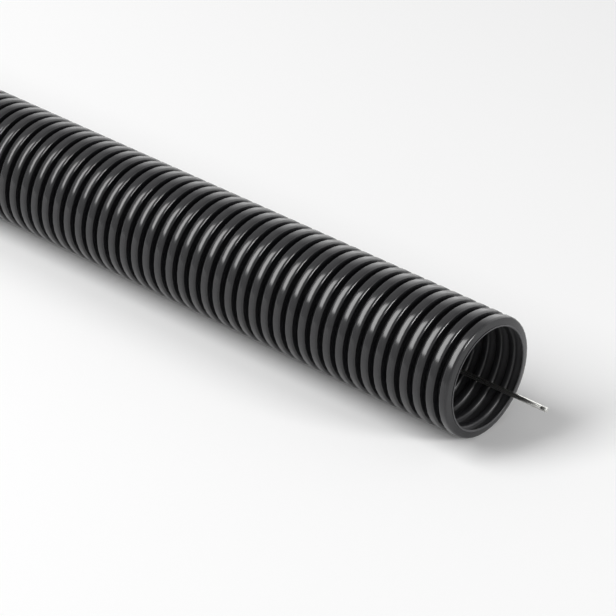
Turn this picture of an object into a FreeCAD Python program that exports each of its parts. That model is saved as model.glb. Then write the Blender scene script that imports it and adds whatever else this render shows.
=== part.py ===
# Corrugated electrical conduit, nominal 50 mm, cut to one metre, with its steel draw wire.
#
# The conduit is one moulded tube of thin polyethylene whose wall runs in parallel rings, so that it bends.
# The draw wire lies loose in the bore from end to end and stands out at both mouths, ready to pull a cable.
#
# Frame: +X along the conduit towards the mouth that the wire is pulled from, +Z up, millimetres.
# Origin: on the floor, under the middle of the conduit as it lies on its crests.

import FreeCAD, Part
import math
import os
import Sketcher

Vector = FreeCAD.Vector

# The driving dimensions, all in millimetres, apart from the count.
SIZES = {
    "outer_diameter": 50.0,   # over the crests
    "bore_diameter": 42.0,    # inside the inner rings
    "wall": 0.8,              # across the wall, the same in crests, flanks and valleys
    "wave_pitch": 6.45,       # from crest to crest
    "crest_flat": 2.5,        # straight top of a crest, along the conduit
    "crest_edge_run": 0.65,   # softened edge of a crest, along the conduit
    "crest_edge_drop": 0.55,  # the same edge, towards the axis
    "flank_run": 0.4,         # length of one flank along the conduit
    "ring_edge_run": 0.45,    # softened edge of an inner ring, along the conduit
    "ring_edge_rise": 0.4,    # the same edge, away from the axis
    "groove_edge_run": 0.55,  # softened corner of the groove inside a crest, along the conduit
    "groove_edge_drop": 0.45, # the same corner, towards the axis
    "cut_collar": 0.25,       # piece of valley that the saw leaves at the front mouth
    "wave_count": 155,        # waves in one metre
    "wire_diameter": 2.0,
    "wire_gap": 0.1,          # between the wire and the inner rings that it lies on
    "wire_tail": 17.5,        # how far the wire stands out of each mouth
}

# Where the springy wire lies in the bore, at even steps from the front mouth to the rear one:
# degrees round from the top, towards +Y. It swings from wall to wall as its coil set presses it.
WIRE_CLOCK = [134, 135, 138, 145, 157, 171, 185, 199, 210, 218, 221, 219, 214, 206, 194, 180, 167, 155, 146]

ARC_SHARE = 0.45   # of the shorter run beside a bend, taken up by the bend's arc


def add_sheet(doc):
    """Put the driving dimensions in a spreadsheet, one named cell each."""
    sheet = doc.addObject("Spreadsheet::Sheet", "Sizes")
    for row, (name, value) in enumerate(SIZES.items(), start=1):
        sheet.set(f"A{row}", name)
        sheet.set(f"B{row}", str(value))
        sheet.setAlias(f"B{row}", name)
    doc.recompute()
    return sheet


def origin_plane(body, role):
    """The body's own base plane of that role."""
    return next(item for item in body.Origin.OriginFeatures if item.Role == role)


def wave_corners(sheet):
    """Corners of one wave's wall, outside from rear to front and then inside back to the rear.

    The inner corners start near their places, and the sketch's constraints move them exactly there.
    """
    crest = sheet.outer_diameter / 2
    shoulder = crest - sheet.crest_edge_drop
    groove = crest - sheet.wall
    ring = sheet.bore_diameter / 2
    valley = ring + sheet.wall
    inset = sheet.wall

    front = sheet.wave_pitch
    front_foot = front - sheet.cut_collar
    front_shoulder = front_foot - sheet.flank_run
    front_crest = front_shoulder - sheet.crest_edge_run
    rear_crest = front_crest - sheet.crest_flat
    rear_shoulder = rear_crest - sheet.crest_edge_run
    rear_foot = rear_shoulder - sheet.flank_run
    outside = [(0, valley), (rear_foot, valley), (rear_shoulder, shoulder), (rear_crest, crest),
               (front_crest, crest), (front_shoulder, shoulder), (front_foot, valley), (front, valley)]
    ring_edge = ring + sheet.ring_edge_rise
    groove_edge = groove - sheet.groove_edge_drop
    inside = [(front, ring), (front_foot - inset + sheet.ring_edge_run, ring),
              (front_foot - inset, ring_edge), (front_shoulder - inset, groove_edge),
              (front_shoulder - inset - sheet.groove_edge_run, groove),
              (rear_shoulder + inset + sheet.groove_edge_run, groove),
              (rear_shoulder + inset, groove_edge), (rear_foot + inset, ring_edge),
              (rear_foot + inset - sheet.ring_edge_run, ring), (0, ring)]
    return [Vector(along, radius, 0) for along, radius in outside + inside]


def draw_wave_section(body, sheet):
    """The wall of one wave, cut along the conduit: sketch x runs along it, sketch y is the radius."""
    sketch = body.newObject("Sketcher::SketchObject", "WaveSection")
    sketch.AttachmentSupport = [(origin_plane(body, "XZ_Plane"), "")]
    sketch.MapMode = "FlatFace"

    names = ["rear_valley", "rear_flank", "rear_edge", "crest", "front_edge", "front_flank", "front_valley",
             "front_joint", "front_ring", "front_ring_edge", "front_groove_side", "front_groove_edge",
             "groove", "rear_groove_edge", "rear_groove_side", "rear_ring_edge", "rear_ring", "rear_joint"]
    line = {name: index for index, name in enumerate(names)}
    corners = wave_corners(sheet)
    following = [*range(1, len(corners)), 0]
    for corner, index in zip(corners, following):
        sketch.addGeometry(Part.LineSegment(corner, corners[index]), False)
    start, end = 1, 2
    for index, next_index in enumerate(following):
        sketch.addConstraint(Sketcher.Constraint("Coincident", index, end, next_index, start))

    for name in ("rear_valley", "crest", "front_valley", "front_ring", "groove", "rear_ring"):
        sketch.addConstraint(Sketcher.Constraint("Horizontal", line[name]))
    for name in ("front_joint", "rear_joint"):
        sketch.addConstraint(Sketcher.Constraint("Vertical", line[name]))
    for inner, outer in (("front_groove_side", "front_flank"), ("rear_groove_side", "rear_flank")):
        sketch.addConstraint(Sketcher.Constraint("Parallel", line[inner], line[outer]))
    for first, second in (("rear_valley", "front_valley"), ("rear_ring", "front_ring")):
        sketch.addConstraint(Sketcher.Constraint("Horizontal", line[first], start, line[second], start))
    sketch_origin, axis_across = -1, -2
    sketch.addConstraint(Sketcher.Constraint("PointOnObject", line["rear_valley"], start, axis_across))

    def follow(name, size, kind, *where, share=1):
        """Add a named dimension that is a size on the spreadsheet, or that size over share."""
        constraint = Sketcher.Constraint(kind, *where, getattr(sheet, size) / share)
        sketch.renameConstraint(sketch.addConstraint(constraint), name)
        sketch.setExpression(f"Constraints.{name}", f"Sizes.{size} / {share}")

    follow("pitch", "wave_pitch", "DistanceX", line["rear_valley"], start, line["front_valley"], end)
    follow("collar", "cut_collar", "DistanceX", line["front_valley"], start, line["front_valley"], end)
    follow("crest_width", "crest_flat", "DistanceX", line["crest"], start, line["crest"], end)
    for side in ("front", "rear"):
        edge, flank, groove_side = line[f"{side}_edge"], line[f"{side}_flank"], line[f"{side}_groove_side"]
        low, high = (end, start) if side == "front" else (start, end)
        foot = start if side == "front" else end
        follow(f"{side}_flank_run", "flank_run", "DistanceX", flank, start, flank, end)
        follow(f"{side}_edge_run", "crest_edge_run", "DistanceX", edge, start, edge, end)
        follow(f"{side}_edge_drop", "crest_edge_drop", "DistanceY", edge, low, edge, high)
        follow(f"{side}_flank_wall", "wall", "Distance", groove_side, foot, flank)
        for name, rise in (("ring_edge", "ring_edge_rise"), ("groove_edge", "groove_edge_drop")):
            inner = line[f"{side}_{name}"]
            follow(f"{side}_{name}_run", f"{name}_run", "DistanceX", inner, end, inner, start)
            follow(f"{side}_{name}_rise", rise, "DistanceY", inner, high, inner, low)
    follow("crest_wall", "wall", "DistanceY", line["groove"], start, line["crest"], end)
    follow("valley_wall", "wall", "DistanceY", line["rear_joint"], start, line["rear_joint"], end)
    origin = (sketch_origin, start)
    follow("crest_radius", "outer_diameter", "DistanceY", *origin, line["crest"], start, share=2)
    follow("ring_radius", "bore_diameter", "DistanceY", *origin, line["rear_joint"], start, share=2)
    return sketch


def make_conduit(doc, sheet):
    """One wave turned round the conduit's axis, then repeated along it."""
    body = doc.addObject("PartDesign::Body", "Conduit")
    body.Label = "conduit"
    section = draw_wave_section(body, sheet)

    wave = body.newObject("PartDesign::Revolution", "Wave")
    wave.Profile = section
    wave.ReferenceAxis = (section, ["H_Axis"])
    wave.Angle = 360
    doc.recompute()

    waves = body.newObject("PartDesign::LinearPattern", "Waves")
    waves.Originals = [wave]
    waves.Direction = (section, ["H_Axis"])
    waves.setExpression("Length", "Sizes.wave_pitch * (Sizes.wave_count - 1)")
    waves.setExpression("Occurrences", "Sizes.wave_count")
    body.Tip = waves

    body.setExpression("Placement.Base.x", "-Sizes.wave_pitch * Sizes.wave_count / 2")
    body.setExpression("Placement.Base.z", "Sizes.outer_diameter / 2")
    doc.recompute()
    return body


def wire_points(sheet):
    """The corners of the wire's route, from the front tip to the rear one."""
    length = sheet.wave_pitch * sheet.wave_count
    off_axis = (sheet.bore_diameter - sheet.wire_diameter) / 2 - sheet.wire_gap
    points = []
    for step, clock in enumerate(WIRE_CLOCK):
        angle = math.radians(clock)
        along = length / 2 - length * step / (len(WIRE_CLOCK) - 1)
        height = sheet.outer_diameter / 2 + off_axis * math.cos(angle)
        points.append(Vector(along, off_axis * math.sin(angle), height))
    front = (points[0] - points[1]).normalize() * sheet.wire_tail
    rear = (points[-1] - points[-2]).normalize() * sheet.wire_tail
    return [points[0] + front] + points[1:-1] + [points[-1] + rear]


def rounded_route(points):
    """Straight runs joined by tangent arcs, as large as the runs beside each bend allow."""
    edges = []
    run_start = points[0]
    radii = []
    for before, corner, after in zip(points, points[1:], points[2:]):
        to_before = (before - corner).normalize()
        to_after = (after - corner).normalize()
        setback = ARC_SHARE * min(before.distanceToPoint(corner), after.distanceToPoint(corner))
        half_turn = (math.pi - to_before.getAngle(to_after)) / 2
        radius = setback / math.tan(half_turn)
        radii.append(radius)
        inward = (to_before + to_after).normalize()
        arc_start = corner + to_before * setback
        arc_end = corner + to_after * setback
        arc_middle = corner + inward * (radius / math.cos(half_turn) - radius)
        edges.append(Part.LineSegment(run_start, arc_start).toShape())
        edges.append(Part.Arc(arc_start, arc_middle, arc_end).toShape())
        run_start = arc_end
    edges.append(Part.LineSegment(run_start, points[-1]).toShape())
    print("wire bend radii, mm:", " ".join(f"{radius:.0f}" for radius in radii))
    return Part.Wire(edges)


def make_draw_wire(doc, sheet):
    """Round steel wire swept along its route through the bore."""
    route = doc.addObject("Part::Feature", "WireRoute")
    route.Shape = rounded_route(wire_points(sheet))

    start = route.Shape.Edges[0]
    facing = FreeCAD.Rotation(Vector(0, 0, 1), start.tangentAt(start.FirstParameter))
    section = doc.addObject("Part::Circle", "WireSection")
    section.setExpression("Radius", "Sizes.wire_diameter / 2")
    section.Placement = FreeCAD.Placement(start.Vertexes[0].Point, facing)

    wire = doc.addObject("Part::Sweep", "DrawWire")
    wire.Label = "draw_wire"
    wire.Sections = [section]
    wire.Spine = (route, [f"Edge{number + 1}" for number in range(len(route.Shape.Edges))])
    wire.Solid = True
    wire.Frenet = False
    doc.recompute()

    length = route.Shape.Length
    expected = math.pi * (sheet.wire_diameter / 2) ** 2 * length
    print(f"wire length {length:.1f} mm, volume {wire.Shape.Volume:.1f} of {expected:.1f} mm3")
    return wire


def check(doc, pieces):
    """Stop before anything is written if an object failed or a shape is empty or broken."""
    for item in doc.Objects:
        if "Invalid" in item.State or "Error" in item.State:
            raise RuntimeError(f"{item.Name} did not compute: {item.State}")
    for piece in pieces:
        if piece.Shape.isNull() or not piece.Shape.isValid():
            raise RuntimeError(f"{piece.Label} has no valid shape")
        print(f"{piece.Label}: {len(piece.Shape.Solids)} solid, {piece.Shape.Volume / 1000:.2f} cm3")


def main():
    """Build the conduit and its draw wire and write one STEP file for each."""
    doc = FreeCAD.newDocument("CorrugatedConduit")
    sheet = add_sheet(doc)
    pieces = [make_conduit(doc, sheet), make_draw_wire(doc, sheet)]
    doc.recompute()
    check(doc, pieces)
    os.makedirs("parts", exist_ok=True)
    for piece in pieces:
        piece.Shape.exportStep(f"parts/{piece.Label}.step")


main()
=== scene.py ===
"""A cut length of black corrugated conduit, with the steel draw wire that lies in its bore.

The conduit is one moulded tube of polyethylene. Its wave is drawn once as a section, turned round
the axis and repeated along it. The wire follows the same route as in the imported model. The axis
runs along X, and the mouth at +X is the front one.
"""

import math

import bmesh
import bpy
from bpy.props import FloatProperty, FloatVectorProperty, IntProperty, PointerProperty
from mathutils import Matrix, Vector


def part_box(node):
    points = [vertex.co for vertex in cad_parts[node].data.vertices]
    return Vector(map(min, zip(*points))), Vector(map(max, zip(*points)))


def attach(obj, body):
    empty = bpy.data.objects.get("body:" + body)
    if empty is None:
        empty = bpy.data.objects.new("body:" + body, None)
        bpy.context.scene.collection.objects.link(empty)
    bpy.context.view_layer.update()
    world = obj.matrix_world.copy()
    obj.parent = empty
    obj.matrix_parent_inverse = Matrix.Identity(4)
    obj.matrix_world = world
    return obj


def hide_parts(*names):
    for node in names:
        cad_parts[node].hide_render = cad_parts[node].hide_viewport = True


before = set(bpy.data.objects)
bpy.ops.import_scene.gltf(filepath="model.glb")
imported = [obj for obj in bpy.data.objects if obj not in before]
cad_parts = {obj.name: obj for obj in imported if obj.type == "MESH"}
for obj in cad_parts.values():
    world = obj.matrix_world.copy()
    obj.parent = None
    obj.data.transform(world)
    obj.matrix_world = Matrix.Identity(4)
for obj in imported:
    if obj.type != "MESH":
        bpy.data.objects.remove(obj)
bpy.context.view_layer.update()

bl_info = {
    "name": "Corrugated Conduit",
    "version": (1, 0, 0),
    "blender": (4, 5, 0),
    "location": "3D View > Sidebar > Conduit",
    "description": "Models a cut length of corrugated conduit with its draw wire",
    "category": "Object",
}

MM = 0.001
CLOSE = 0.001 * MM  # Points closer than this are the same point.
NEAR = 0.01 * MM  # Points closer than this to a drawn place are the ones meant there.

TUBE_LOW, TUBE_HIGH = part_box("conduit")
TUBE_ENDS = (TUBE_LOW.x, TUBE_HIGH.x)
TUBE_RADIUS = (TUBE_HIGH.z - TUBE_LOW.z) / 2
TUBE_LENGTH = TUBE_HIGH.x - TUBE_LOW.x
AXIS_HEIGHT = (TUBE_HIGH.z + TUBE_LOW.z) / 2


def linear(hex_colour):
    """The linear RGB values of an sRGB hex colour."""
    values = [int(hex_colour[place:place + 2], 16) / 255 for place in (1, 3, 5)]
    return tuple(v / 12.92 if v <= 0.04045 else ((v + 0.055) / 1.055) ** 2.4 for v in values)


class ConduitSizes(bpy.types.PropertyGroup):
    """The sizes of the conduit's wave and of its cuts, in metres."""

    pitch: FloatProperty(name="Wave pitch", description="From crest to crest",
                         default=6.45 * MM, unit="LENGTH")
    wall: FloatProperty(name="Wall", description="Thickness of the plastic",
                        default=0.8 * MM, unit="LENGTH")
    bore_radius: FloatProperty(name="Bore radius", description="Inside the inner rings",
                               default=21 * MM, unit="LENGTH")
    valley: FloatProperty(name="Valley", description="Width of the floor between two crests",
                          default=1.85 * MM, unit="LENGTH")
    flank_run: FloatProperty(name="Flank run", description="Length along the conduit of one flank",
                             default=0.483 * MM, unit="LENGTH")
    crest_round: FloatProperty(name="Crest rounding", description="Radius of each crest's edges",
                               default=1.0 * MM, unit="LENGTH")
    ring_round: FloatProperty(name="Ring rounding", description="Radius of the inner rings' edges",
                              default=0.75 * MM, unit="LENGTH")
    groove_drop: FloatProperty(name="Groove rounding", default=1.25 * MM, unit="LENGTH",
                               description="How far the round floor inside a crest comes down")
    cut_collar: FloatProperty(name="Cut collar", description="Valley left at the front mouth",
                              default=0.25 * MM, unit="LENGTH")
    deburr: FloatProperty(name="Deburring", description="Taken off the inner edge of each cut",
                          default=0.35 * MM, unit="LENGTH")
    segments: IntProperty(name="Segments", description="Facets round the conduit", default=42)


class WireSizes(bpy.types.PropertyGroup):
    """The sizes of the draw wire, in metres."""

    diameter: FloatProperty(name="Diameter", description="Of the coated wire",
                            default=2 * MM, unit="LENGTH")
    gap: FloatProperty(name="Gap", description="Between the wire and the rings that it lies on",
                       default=0.1 * MM, unit="LENGTH")
    tail: FloatProperty(name="Tail", description="How far the wire stands out of each mouth",
                        default=17.5 * MM, unit="LENGTH")


class ConduitColours(bpy.types.PropertyGroup):
    """The colours of the finishes and the stage."""

    plastic: FloatVectorProperty(name="Plastic", description="Outside of the tube",
                                 subtype="COLOR", default=linear("#212123"))
    bore: FloatVectorProperty(name="Bore", description="Inside of the tube",
                              subtype="COLOR", default=linear("#222224"))
    # The grooves' grey is painted light: it stands in for the light that comes in through the
    # mouth.
    groove: FloatVectorProperty(name="Grooves", description="Inside each crest, where it is matt",
                                subtype="COLOR", default=linear("#4A4A4C"))
    sawn: FloatVectorProperty(name="Sawn ends", description="Where the saw dragged the plastic",
                              subtype="COLOR", default=linear("#444446"))
    zinc: FloatVectorProperty(name="Zinc", description="Coating of the draw wire",
                              subtype="COLOR", default=linear("#DADAD6"))
    floor: FloatVectorProperty(name="Floor", description="Pale studio floor",
                               subtype="COLOR", default=linear("#F8F8F8"))


def add_node(tree, kind, links=(), values=(), **settings):
    """Add a shader node with its own settings, and with links and plain values for its sockets."""
    node = tree.nodes.new(kind)
    for name, value in settings.items():
        setattr(node, name, value)
    for socket, value in dict(values).items():
        node.inputs[socket].default_value = value
    for socket, source in dict(links).items():
        tree.links.new(source, node.inputs[socket])
    return node


def new_material(name):
    """An empty node material and its tree."""
    material = bpy.data.materials.new(name)
    material.use_nodes = True
    material.node_tree.nodes.clear()
    return material, material.node_tree


# Roughness of the plastic's finishes. The mould's polish varies from the one value to the other.
MOULD_POLISH = (0.12, 0.22)
BORE_ROUGHNESS = 0.4
GROOVE_ROUGHNESS = 0.55
SAWN_ROUGHNESS = 0.5

GLOSS_PATCH = 6 * MM
RIPPLE_WIDTH = 1.5 * MM
RIPPLE_HEIGHT = 0.02 * MM
# Between these radii the bore side turns matt and takes the grooves' grey, which is painted light.
GROOVE_MATT_AND_PAINTED_LIGHT = (22.2 * MM, 23.2 * MM)  # Radii between which the bore side turns matt.
SAWN_DEPTH = 0.02 * MM  # What lies nearer than this to a cut's plane is sawn.


def polyethylene_material(colours):
    """Black high-density polyethylene, blown into a chilled mould.

    The outside takes the polish of the mould. The bore side cooled in air, so it is less glossy and
    a little paler. The grooves inside the crests are matt, and their grey is painted light: it
    stands in for the light that comes in through the mouth and brightens them. The sawn ends are
    rough, dragged plastic that looks grey.
    """
    material, tree = new_material("moulded_polyethylene")
    place = add_node(tree, "ShaderNodeTexCoord").outputs["Object"]

    # The bore side is what faces the axis: its normal points against the spoke from the axis to it.
    spoke = add_node(tree, "ShaderNodeVectorMath", {0: place}, {1: (0, 0, AXIS_HEIGHT)},
                     operation="SUBTRACT")
    spoke = add_node(tree, "ShaderNodeVectorMath", {0: spoke.outputs[0]}, {1: (0, 1, 1)},
                     operation="MULTIPLY").outputs[0]
    facing = add_node(tree, "ShaderNodeNewGeometry").outputs["True Normal"]
    outward = add_node(tree, "ShaderNodeVectorMath", {0: spoke, 1: facing}, operation="DOT_PRODUCT")
    bore = add_node(tree, "ShaderNodeMath", {0: outward.outputs["Value"]}, {1: 0},
                    operation="LESS_THAN").outputs[0]

    # The grooves are the part of the bore side that lies far from the axis. There it turns matt,
    # and its paler grey is painted light.
    radius = add_node(tree, "ShaderNodeVectorMath", {0: spoke}, operation="LENGTH").outputs["Value"]
    groove = add_node(tree, "ShaderNodeMapRange", {"Value": radius, "To Max": bore},
                      {"From Min": GROOVE_MATT_AND_PAINTED_LIGHT[0], "From Max": GROOVE_MATT_AND_PAINTED_LIGHT[1]}).outputs[0]

    # The sawn ends are what lies furthest from the middle of the tube, which is at X = 0.
    along = add_node(tree, "ShaderNodeSeparateXYZ", {"Vector": place}).outputs["X"]
    from_middle = add_node(tree, "ShaderNodeMath", {0: along}, operation="ABSOLUTE").outputs[0]
    sawn = add_node(tree, "ShaderNodeMath", {0: from_middle}, {1: TUBE_LENGTH / 2 - SAWN_DEPTH},
                    operation="GREATER_THAN").outputs[0]

    # Cloudy gloss, in patches, because the resin takes the mould's polish unevenly.
    cloud = add_node(tree, "ShaderNodeTexNoise", {"Vector": place},
                     {"Scale": 1 / GLOSS_PATCH, "Detail": 3.0}).outputs["Fac"]
    rough = add_node(tree, "ShaderNodeMapRange", {"Value": cloud},
                     {"To Min": MOULD_POLISH[0], "To Max": MOULD_POLISH[1]}).outputs[0]
    shade = add_node(tree, "ShaderNodeRGB").outputs[0]
    shade.default_value = (*colours.plastic, 1)

    # Each finish covers the ones before it, and the grooves' grey is painted light. A Mix node's
    # sockets
    # 2 and 3 are its two numbers, and 6 and 7 are its two colours.
    for finish, roughness, colour in ((bore, BORE_ROUGHNESS, colours.bore),
                                      (groove, GROOVE_ROUGHNESS, colours.groove),
                                      (sawn, SAWN_ROUGHNESS, colours.sawn)):
        rough = add_node(tree, "ShaderNodeMix", {"Factor": finish, 2: rough},
                         {3: roughness}).outputs[0]
        shade = add_node(tree, "ShaderNodeMix", {"Factor": finish, 6: shade},
                         {7: (*colour, 1)}, data_type="RGBA").outputs[2]

    # Faint ripple that makes the highlights waver.
    ripple = add_node(tree, "ShaderNodeTexNoise", {"Vector": place},
                      {"Scale": 1 / RIPPLE_WIDTH, "Detail": 2.0}).outputs["Fac"]
    bump = add_node(tree, "ShaderNodeBump", {"Height": ripple},
                    {"Strength": 0.2, "Distance": RIPPLE_HEIGHT}).outputs["Normal"]
    shader = add_node(tree, "ShaderNodeBsdfPrincipled",
                      {"Base Color": shade, "Roughness": rough, "Normal": bump}, {"IOR": 1.5})
    add_node(tree, "ShaderNodeOutputMaterial", {"Surface": shader.outputs["BSDF"]})
    return material


DRAW_LINE_LENGTH = 15 * MM
DRAW_LINE_WIDTH = 0.15 * MM
DRAW_LINE_DEPTH = 0.02 * MM
ZINC_ROUGHNESS = (0.22, 0.34)


def zinc_material(colour):
    """Galvanised steel wire, drawn through a die: bright, with fine lines along it."""
    material, tree = new_material("galvanised_steel")
    place = add_node(tree, "ShaderNodeTexCoord").outputs["Object"]
    stretch = (1 / DRAW_LINE_LENGTH, 1 / DRAW_LINE_WIDTH, 1 / DRAW_LINE_WIDTH)
    lines = add_node(tree, "ShaderNodeVectorMath", {0: place}, {1: stretch}, operation="MULTIPLY")
    lines = add_node(tree, "ShaderNodeTexNoise", {"Vector": lines.outputs[0]},
                     {"Scale": 1.0, "Detail": 2.0}).outputs["Fac"]
    rough = add_node(tree, "ShaderNodeMapRange", {"Value": lines},
                     {"To Min": ZINC_ROUGHNESS[0], "To Max": ZINC_ROUGHNESS[1]}).outputs[0]
    bump = add_node(tree, "ShaderNodeBump", {"Height": lines},
                    {"Strength": 0.3, "Distance": DRAW_LINE_DEPTH}).outputs["Normal"]
    shader = add_node(tree, "ShaderNodeBsdfPrincipled", {"Roughness": rough, "Normal": bump},
                      {"Base Color": (*colour, 1), "Metallic": 1.0})
    add_node(tree, "ShaderNodeOutputMaterial", {"Surface": shader.outputs["BSDF"]})
    return material


def floor_material(colour):
    """Plain matt paper."""
    material, tree = new_material("studio_paper")
    shader = add_node(tree, "ShaderNodeBsdfPrincipled", values={
        "Base Color": (*colour, 1), "Roughness": 1.0, "Specular IOR Level": 0.0})
    add_node(tree, "ShaderNodeOutputMaterial", {"Surface": shader.outputs["BSDF"]})
    return material


def begin_mesh(name):
    """Start an empty mesh piece in edit mode."""
    bpy.ops.object.select_all(action="DESELECT")
    bpy.ops.mesh.primitive_plane_add(size=MM)
    piece = bpy.context.object
    piece.name = piece.data.name = name
    bpy.ops.object.mode_set(mode="EDIT")
    bpy.ops.mesh.select_all(action="SELECT")
    bpy.ops.mesh.delete(type="VERT")
    return piece


def draw_line(points):
    """Draw an open line of edges through the points, by extruding one vertex after another."""
    bpy.ops.mesh.select_all(action="DESELECT")
    # A tiny plane, merged to a point, is the first vertex.
    bpy.ops.mesh.primitive_plane_add(size=NEAR, location=points[0])
    bpy.ops.mesh.merge(type="CENTER")
    for before, after in zip(points, points[1:]):
        bpy.ops.mesh.extrude_vertices_move(TRANSFORM_OT_translate={"value": after - before})


def select_vertices(piece, wanted):
    """Select the vertices whose place passes the test, and whatever lies between them."""
    mesh = bmesh.from_edit_mesh(piece.data)
    for vertex in mesh.verts:
        vertex.select = wanted(vertex.co)
    mesh.select_flush_mode()
    mesh.select_flush(True)
    bmesh.update_edit_mesh(piece.data)


def merge_all():
    """Merge the vertices of the whole mesh that lie in one place."""
    bpy.ops.mesh.select_all(action="SELECT")
    bpy.ops.mesh.remove_doubles(threshold=CLOSE)


def face_outwards():
    """Turn all the faces of a closed mesh outwards."""
    bpy.ops.mesh.select_all(action="SELECT")
    bpy.ops.mesh.normals_make_consistent(inside=False)


def wave_lines(sizes):
    """The corners of one wave's outer and inner line.

    The outer line goes from the front foot of one crest to the next one's, and the inner line from
    the middle of one crest's groove to the middle of the next one's.
    """
    ring, groove = sizes.bore_radius, TUBE_RADIUS - sizes.wall
    valley, crest = ring + sizes.wall, TUBE_RADIUS
    lean = sizes.flank_run / (crest - valley)
    skin = sizes.wall * math.hypot(1, lean)
    start = TUBE_LOW.x - sizes.cut_collar

    def behind_foot(radius):
        """How far behind the foot of its crest the inner face of a flank lies, at a radius."""
        return skin + (radius - valley) * lean

    def corner(along, radius):
        """The place of a corner, by its way along the wave and its distance from the axis."""
        return Vector((start + along, 0, AXIS_HEIGHT + radius))

    outer = [(0, valley), (sizes.valley, valley), (sizes.valley + sizes.flank_run, crest),
             (sizes.pitch - sizes.flank_run, crest), (sizes.pitch, valley)]
    half_crest = (sizes.pitch - sizes.valley) / 2
    shoulder = groove - sizes.groove_drop
    inner = [(-half_crest, groove), (-behind_foot(shoulder), shoulder), (-behind_foot(ring), ring),
             (sizes.valley + behind_foot(ring), ring),
             (sizes.valley + behind_foot(shoulder), shoulder), (sizes.valley + half_crest, groove)]
    return [corner(*point) for point in outer], [corner(*point) for point in inner]


def round_corners(piece, corners, radius, turn, segments):
    """Round off corners of a drawn line, each of which turns the line by the same angle."""
    select_vertices(piece, lambda place: min((place - corner).length for corner in corners) < NEAR)
    bpy.ops.mesh.bevel(affect="VERTICES", offset=radius * math.tan(turn / 2), segments=segments)


def draw_wave(piece, sizes):
    """Draw one wave's section, and round off the crest outside and the ring inside."""
    outer, inner = wave_lines(sizes)
    crest_corners, ring_corners = outer[2:4], inner[2:4]
    turn = math.atan2(outer[2].z - outer[1].z, outer[2].x - outer[1].x)
    draw_line(outer)
    round_corners(piece, crest_corners, sizes.crest_round, turn, segments=2)
    draw_line(inner)
    round_corners(piece, ring_corners, sizes.ring_round, turn, segments=1)


def repeat_wave(piece, sizes):
    """Repeat the turned wave along the axis until it reaches past both ends of the tube."""
    waves = piece.modifiers.new("waves", "ARRAY")
    waves.use_relative_offset = False
    waves.use_constant_offset = True
    waves.constant_offset_displace = (sizes.pitch, 0, 0)
    waves.count = math.ceil((TUBE_LENGTH + sizes.cut_collar) / sizes.pitch)
    waves.use_merge_vertices = True
    waves.merge_threshold = CLOSE
    bpy.ops.object.modifier_apply(modifier=waves.name)


def on_inner_edge(place, end, sizes):
    """Whether a point lies on the inner edge of the cut at one end."""
    radius = math.hypot(place.y, place.z - AXIS_HEIGHT)
    return abs(place.x - end) < CLOSE and radius < sizes.bore_radius + sizes.wall / 2


def saw_off(piece, end, sizes):
    """Saw the tube square at one end, and close the wall there with a flat ring."""
    bpy.ops.mesh.select_all(action="SELECT")
    bpy.ops.mesh.bisect(plane_co=(end, 0, AXIS_HEIGHT), plane_no=(math.copysign(1, end), 0, 0),
                        clear_outer=True, threshold=CLOSE)
    select_vertices(piece, lambda place: on_inner_edge(place, end, sizes))
    bpy.ops.mesh.extrude_edges_move()
    spread = (sizes.bore_radius + sizes.wall) / sizes.bore_radius
    bpy.ops.transform.resize(value=(1, spread, spread), center_override=(end, 0, AXIS_HEIGHT))


def deburr(piece, sizes):
    """Draw the deburring knife round the inner edge of each cut."""
    select_vertices(piece, lambda place: any(on_inner_edge(place, end, sizes) for end in TUBE_ENDS))
    bpy.ops.mesh.bevel(affect="EDGES", offset=sizes.deburr, segments=2)


# Edges that turn by more than this stay sharp: the rims of the cuts, and the tips of the wire.
TUBE_SHARP_TURN = math.radians(60)
WIRE_SHARP_TURN = math.radians(40)


class CONDUIT_OT_tube(bpy.types.Operator):
    """Model the corrugated tube: a wave's section, turned, repeated and sawn off at both ends"""

    bl_idname = "conduit.tube"
    bl_label = "Corrugated Tube"

    def execute(self, context):
        sizes = context.scene.conduit_sizes
        tube = begin_mesh("conduit_tube")
        draw_wave(tube, sizes)
        bpy.ops.mesh.select_all(action="SELECT")
        bpy.ops.mesh.spin(steps=sizes.segments, angle=math.tau, center=(0, 0, AXIS_HEIGHT),
                          axis=(1, 0, 0))
        merge_all()
        bpy.ops.object.mode_set(mode="OBJECT")
        repeat_wave(tube, sizes)

        bpy.ops.object.mode_set(mode="EDIT")
        for end in TUBE_ENDS:
            saw_off(tube, end, sizes)
        merge_all()
        face_outwards()
        deburr(tube, sizes)
        bpy.ops.object.mode_set(mode="OBJECT")

        # With full weight the broad bands shade flat, and the narrow rounds between them take up
        # the turn.
        bpy.ops.object.shade_smooth_by_angle(angle=TUBE_SHARP_TURN)
        flats = tube.modifiers.new("flats", "WEIGHTED_NORMAL")
        flats.weight = 100
        flats.keep_sharp = True
        bpy.ops.object.modifier_apply(modifier=flats.name)

        tube.data.materials.clear()
        tube.data.materials.append(polyethylene_material(context.scene.conduit_colours))
        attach(tube, "root")
        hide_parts("conduit")
        return {"FINISHED"}


# Where the wire lies in the bore, at even steps from the front mouth to the rear one, as degrees
# round from the top, towards +Y. It swings from wall to wall as its coil set presses it.
WIRE_CLOCK = (134, 135, 138, 145, 157, 171, 185, 199, 210, 218,
              221, 219, 214, 206, 194, 180, 167, 155, 146)

# The cutters nipped the wire this far behind its tip, over this length, to this share of its width.
NIP_PLACE = 2.7 * MM
NIP_LENGTH = 0.8 * MM
NIP_WAIST = 0.86
TIP_BEVEL = 0.08  # Width of the filed edge of a tip, as a share of the diameter.
TIP_REACH = 40 * MM  # The cuts at a tip leave the wire alone past this distance from it.


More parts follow.
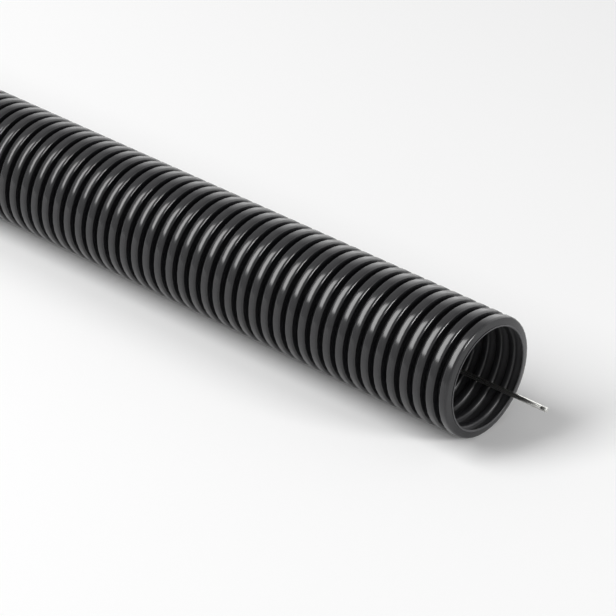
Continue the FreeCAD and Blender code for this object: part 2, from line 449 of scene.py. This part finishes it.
def wire_points(sizes, wire):
    """The control points of the wire's line, from the front tip to the rear one."""
    off_axis = sizes.bore_radius - wire.diameter / 2 - wire.gap
    points = []
    for step, clock in enumerate(WIRE_CLOCK):
        angle = math.radians(clock)
        along = TUBE_HIGH.x - TUBE_LENGTH * step / (len(WIRE_CLOCK) - 1)
        points.append(Vector((along, off_axis * math.sin(angle),
                              AXIS_HEIGHT + off_axis * math.cos(angle))))
    front = (points[0] - points[1]).normalized() * wire.tail
    rear = (points[-1] - points[-2]).normalized() * wire.tail
    return [points[0] + front] + points[1:-1] + [points[-1] + rear]


def sweep_wire(name, points, wire):
    """Sweep a round bar along a smooth line, and turn it into the active mesh piece."""
    line = bpy.data.curves.new(name, "CURVE")
    line.dimensions = "3D"
    spline = line.splines.new("NURBS")
    spline.points.add(len(points) - 1)
    for point, place in zip(spline.points, points):
        point.co = (*place, 1)
    spline.order_u = 3
    spline.use_endpoint_u = True
    line.resolution_u = 12
    line.bevel_depth = wire.diameter / 2
    line.bevel_resolution = 6
    line.use_fill_caps = True
    piece = bpy.data.objects.new(name, line)
    bpy.context.scene.collection.objects.link(piece)
    bpy.ops.object.select_all(action="DESELECT")
    piece.select_set(True)
    bpy.context.view_layer.objects.active = piece
    bpy.ops.object.convert(target="MESH")
    return piece


def finish_tip(piece, tip, inwards, wire):
    """Nip the wire just behind its tip, where the cutters held it, and file the edge of the cut."""
    bpy.ops.object.mode_set(mode="EDIT")
    merge_all()
    for behind in (NIP_PLACE - NIP_LENGTH / 2, NIP_PLACE + NIP_LENGTH / 2, NIP_PLACE):
        waist = tip + inwards * behind
        select_vertices(piece, lambda point: (point - tip).length < TIP_REACH)
        bpy.ops.mesh.bisect(plane_co=waist, plane_no=inwards)
    # The last cut runs round the middle of the nip, and is still selected.
    bpy.ops.transform.resize(value=(NIP_WAIST, NIP_WAIST, NIP_WAIST), center_override=waist)
    select_vertices(piece, lambda point: abs((point - tip).dot(inwards)) < NEAR)
    bpy.ops.mesh.dissolve_faces()
    bpy.ops.mesh.bevel(offset=TIP_BEVEL * wire.diameter, segments=1)
    face_outwards()
    bpy.ops.object.mode_set(mode="OBJECT")


class CONDUIT_OT_wire(bpy.types.Operator):
    """Model the draw wire as a round bar on a smooth line through the bore"""

    bl_idname = "conduit.wire"
    bl_label = "Draw Wire"

    def execute(self, context):
        wire = context.scene.wire_sizes
        points = wire_points(context.scene.conduit_sizes, wire)
        piece = sweep_wire("draw_wire_steel", points, wire)
        for tip, after in ((points[0], points[1]), (points[-1], points[-2])):
            finish_tip(piece, tip, (after - tip).normalized(), wire)
        bpy.ops.object.shade_smooth_by_angle(angle=WIRE_SHARP_TURN)
        piece.data.materials.append(zinc_material(context.scene.conduit_colours.zinc))
        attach(piece, "root")
        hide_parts("draw_wire")
        return {"FINISHED"}


FLOOR_WIDTH = 6.0  # Metres, as are all lengths on the stage.

# The camera stands to the left of the front mouth and looks down on it.
CAMERA_PLACE = Vector((1.08957, -0.76653, 0.64768))
CAMERA_DOWN = math.radians(31.505)
CAMERA_TURN = math.radians(41.628)
CAMERA_LENS = 177.19

ROOM_LIGHT = 0.27  # The white world's strength as a light. The camera sees it at 1.

# What reflections see on top of that: a grey room, and a bright wall on the +Y side. The wall
# begins, and is fully bright, where the Y part of the ray's direction reaches these values.
WALL_SIDEWAYS = (0.55, 0.86)
WALL_STRENGTH = (0.4, 2.1)


def build_world():
    """A white room that lights the object dimly, so that dark plastic stays dark."""
    world = bpy.data.worlds.new("studio")
    world.use_nodes = True
    tree = world.node_tree
    tree.nodes.clear()
    ray = add_node(tree, "ShaderNodeLightPath").outputs
    direction = add_node(tree, "ShaderNodeTexCoord").outputs["Generated"]
    sideways = add_node(tree, "ShaderNodeSeparateXYZ", {"Vector": direction}).outputs["Y"]
    # The bright wall draws the line of light along the tube's far edge.
    wall = add_node(tree, "ShaderNodeMapRange", {"Value": sideways},
                    {"From Min": WALL_SIDEWAYS[0], "From Max": WALL_SIDEWAYS[1],
                     "To Min": WALL_STRENGTH[0], "To Max": WALL_STRENGTH[1]}).outputs[0]
    strength = add_node(tree, "ShaderNodeMath", {0: ray["Is Glossy Ray"], 1: wall},
                        {2: ROOM_LIGHT}, operation="MULTIPLY_ADD").outputs[0]
    strength = add_node(tree, "ShaderNodeMath", {0: ray["Is Camera Ray"], 2: strength},
                        {1: 1 - ROOM_LIGHT}, operation="MULTIPLY_ADD").outputs[0]
    shine = add_node(tree, "ShaderNodeBackground", {"Strength": strength}, {"Color": (1, 1, 1, 1)})
    add_node(tree, "ShaderNodeOutputWorld", {"Surface": shine.outputs["Background"]})
    return world


def add_softbox(scene, name, place, turn, width, height, radiance):
    """Add a flat area lamp, turned by three angles in degrees from facing straight down.

    Its radiance says how bright its face is, whatever its size.
    """
    lamp = bpy.data.lights.new(name, "AREA")
    lamp.shape = "RECTANGLE"
    lamp.size, lamp.size_y = width, height
    lamp.energy = radiance * math.pi * width * height
    item = bpy.data.objects.new(name, lamp)
    item.location = place
    item.rotation_euler = [math.radians(angle) for angle in turn]
    scene.collection.objects.link(item)


class CONDUIT_OT_stage(bpy.types.Operator):
    """Set up the floor, the lamps, the world and the camera"""

    bl_idname = "conduit.stage"
    bl_label = "Stage"

    def execute(self, context):
        scene = context.scene
        bpy.ops.object.select_all(action="DESELECT")
        bpy.ops.mesh.primitive_grid_add(x_subdivisions=4, y_subdivisions=4, size=FLOOR_WIDTH)
        floor = context.object
        floor.name = "studio_floor"
        floor.data.materials.append(floor_material(scene.conduit_colours.floor))

        scene.world = build_world()
        add_softbox(scene, "key_softbox", place=(-0.5, -0.872, 1.367), turn=(33, 0, 0),
                    width=0.9, height=1.6, radiance=7.3)
        add_softbox(scene, "front_softbox", place=(1.83, 0.22, 0.59), turn=(0, 69, 10),
                    width=0.3, height=0.4, radiance=32.0)

        camera = bpy.data.cameras.new("photo_camera")
        camera.lens = CAMERA_LENS
        item = bpy.data.objects.new("photo_camera", camera)
        item.location = CAMERA_PLACE
        item.rotation_euler = (math.pi / 2 - CAMERA_DOWN, 0, CAMERA_TURN)
        scene.collection.objects.link(item)
        scene.camera = item
        scene.view_settings.view_transform = "Standard"
        return {"FINISHED"}


class CONDUIT_PT_panel(bpy.types.Panel):
    """Lists the conduit's pieces in the sidebar"""

    bl_idname = "CONDUIT_PT_panel"
    bl_label = "Corrugated Conduit"
    bl_space_type = "VIEW_3D"
    bl_region_type = "UI"
    bl_category = "Conduit"

    def draw(self, context):
        scene = context.scene
        for group in (scene.conduit_sizes, scene.wire_sizes, scene.conduit_colours):
            column = self.layout.column(align=True)
            for name in group.__annotations__:
                column.prop(group, name)
        for operator in OPERATORS:
            self.layout.operator(operator.bl_idname)


OPERATORS = (CONDUIT_OT_tube, CONDUIT_OT_wire, CONDUIT_OT_stage)
CLASSES = (ConduitSizes, WireSizes, ConduitColours, *OPERATORS, CONDUIT_PT_panel)


def register():
    for item in CLASSES:
        bpy.utils.register_class(item)
    bpy.types.Scene.conduit_sizes = PointerProperty(type=ConduitSizes)
    bpy.types.Scene.wire_sizes = PointerProperty(type=WireSizes)
    bpy.types.Scene.conduit_colours = PointerProperty(type=ConduitColours)


def unregister():
    for name in ("conduit_sizes", "wire_sizes", "conduit_colours"):
        delattr(bpy.types.Scene, name)
    for item in reversed(CLASSES):
        bpy.utils.unregister_class(item)


def main():
    register()
    bpy.ops.conduit.tube()
    bpy.ops.conduit.wire()
    bpy.ops.conduit.stage()


if __name__ == "__main__":
    main()
